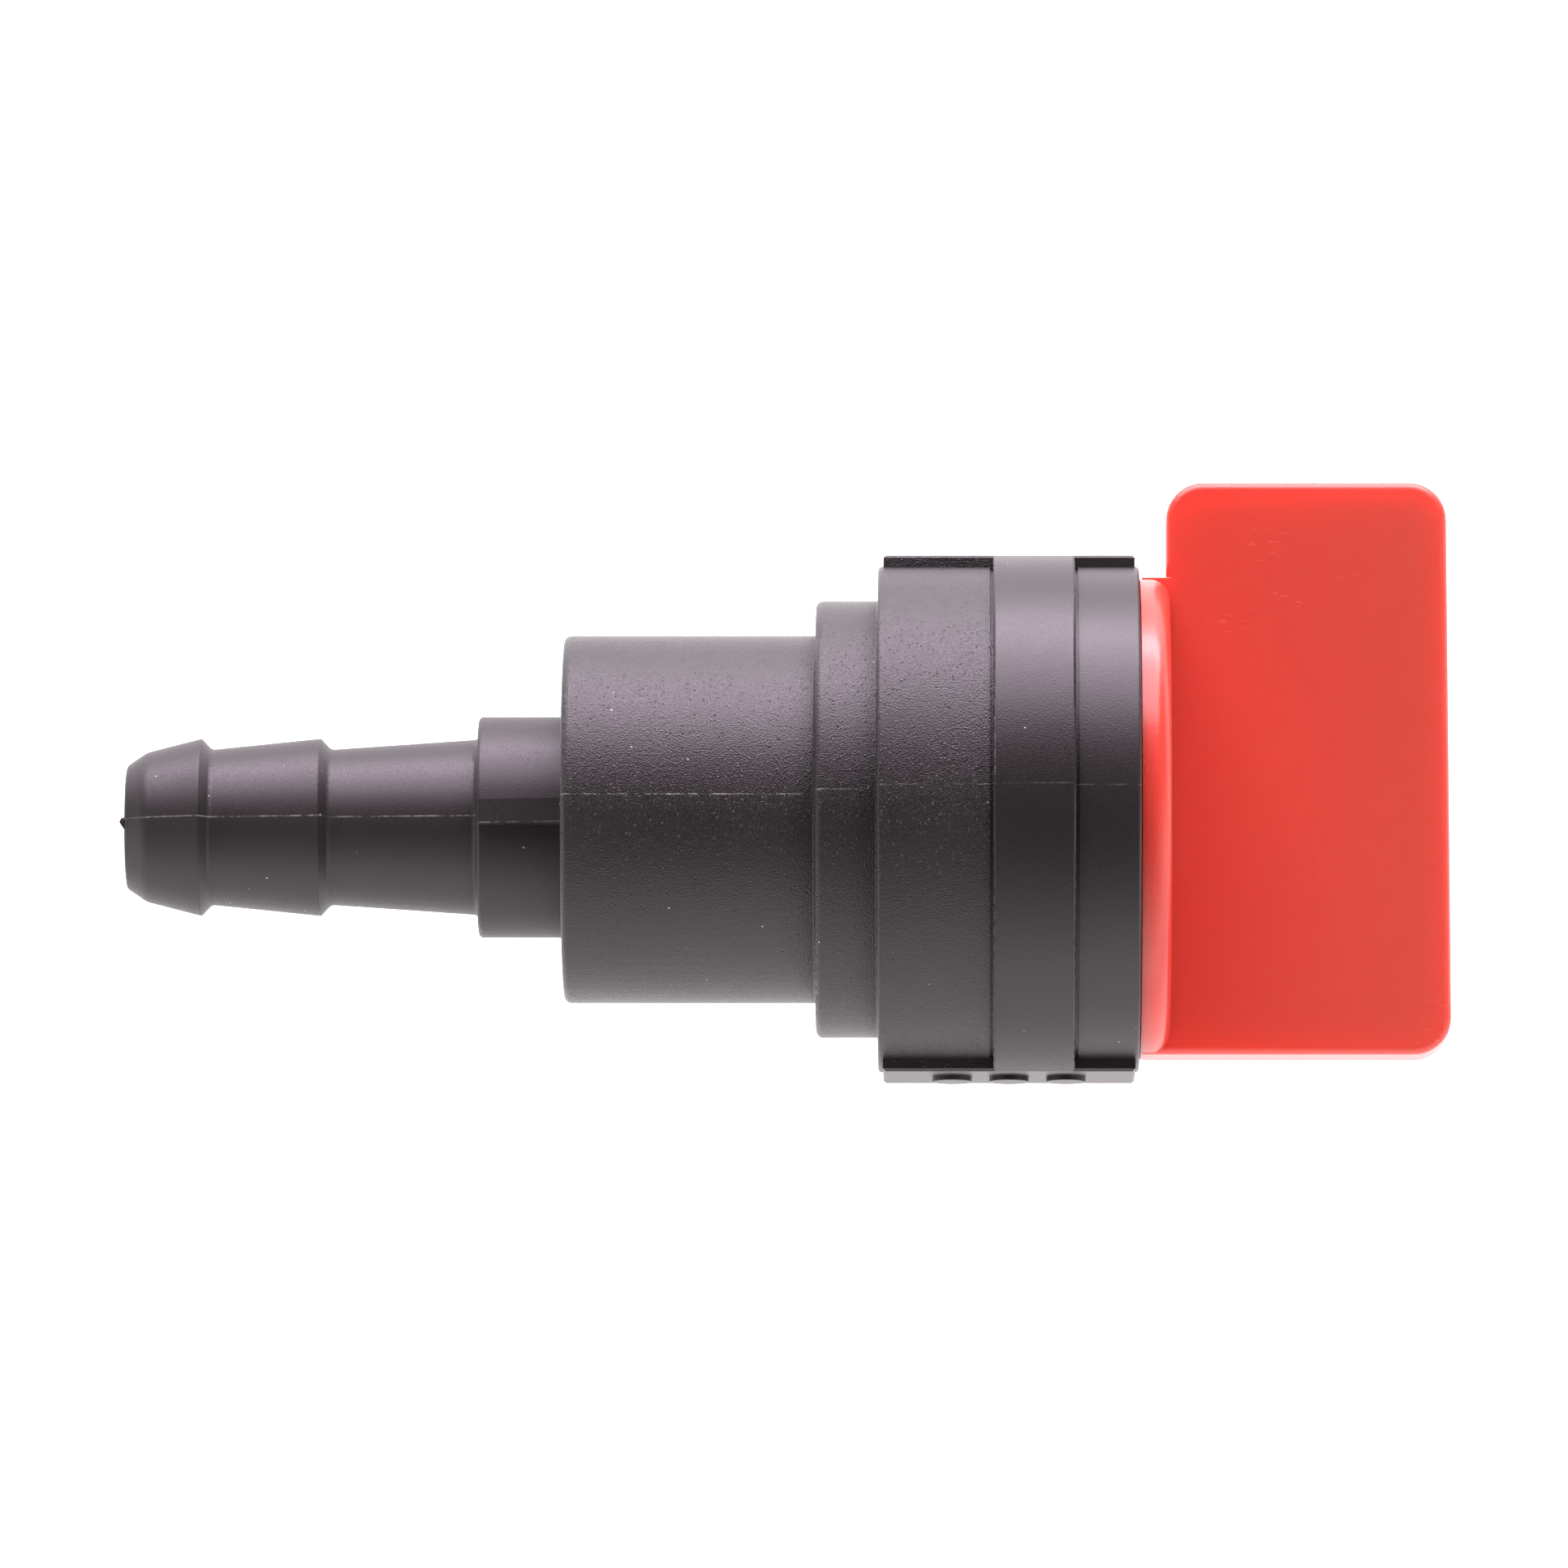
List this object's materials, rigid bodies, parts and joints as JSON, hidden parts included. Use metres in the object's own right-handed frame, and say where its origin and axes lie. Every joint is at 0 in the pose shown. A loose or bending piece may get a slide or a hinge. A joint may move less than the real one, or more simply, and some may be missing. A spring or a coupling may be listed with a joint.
{
  "type": "hose shut-off tap",
  "caption": "Small moulded hose tap with an off-centre inlet barb, a side outlet barb and a red paddle handle that turns half a turn to close it.",
  "frame": {"origin": "where the outlet barb's axis crosses the stem's axis, in the middle of the barrel", "axes": "+X along the stem, from the inlet barb towards the handle; -Z along the outlet barb, out of its mouth; the handle points to +Y when the tap is open"},
  "size_m": [0.0576, 0.026, 0.0384],
  "materials": {
    "black_plastic": "moulded, fine spark-eroded grain",
    "red_plastic": "moulded, satin gloss, slightly translucent",
    "natural_acetal": "moulded, smooth",
    "white_nylon": "punched from sheet",
    "nitrile_rubber": "moulded, matt",
    "spring_steel": "drawn stainless wire"
  },
  "bodies": {
    "tap_body": {"valve_body": "black_plastic", "thrust_washer": "white_nylon"},
    "turning_handle": {"handle": "red_plastic", "rotor": "natural_acetal", "port_seal": "nitrile_rubber", "seal_spring": "spring_steel", "lower_o_ring": "nitrile_rubber", "upper_o_ring": "nitrile_rubber"}
  },
  "joints": [
    {"name": "handle_turn", "type": "hinge", "parent": "tap_body", "child": "turning_handle", "pos_m": [0, 0, 0], "axis": [1, 0, 0], "range_deg": [-180, 0]}
  ]
}
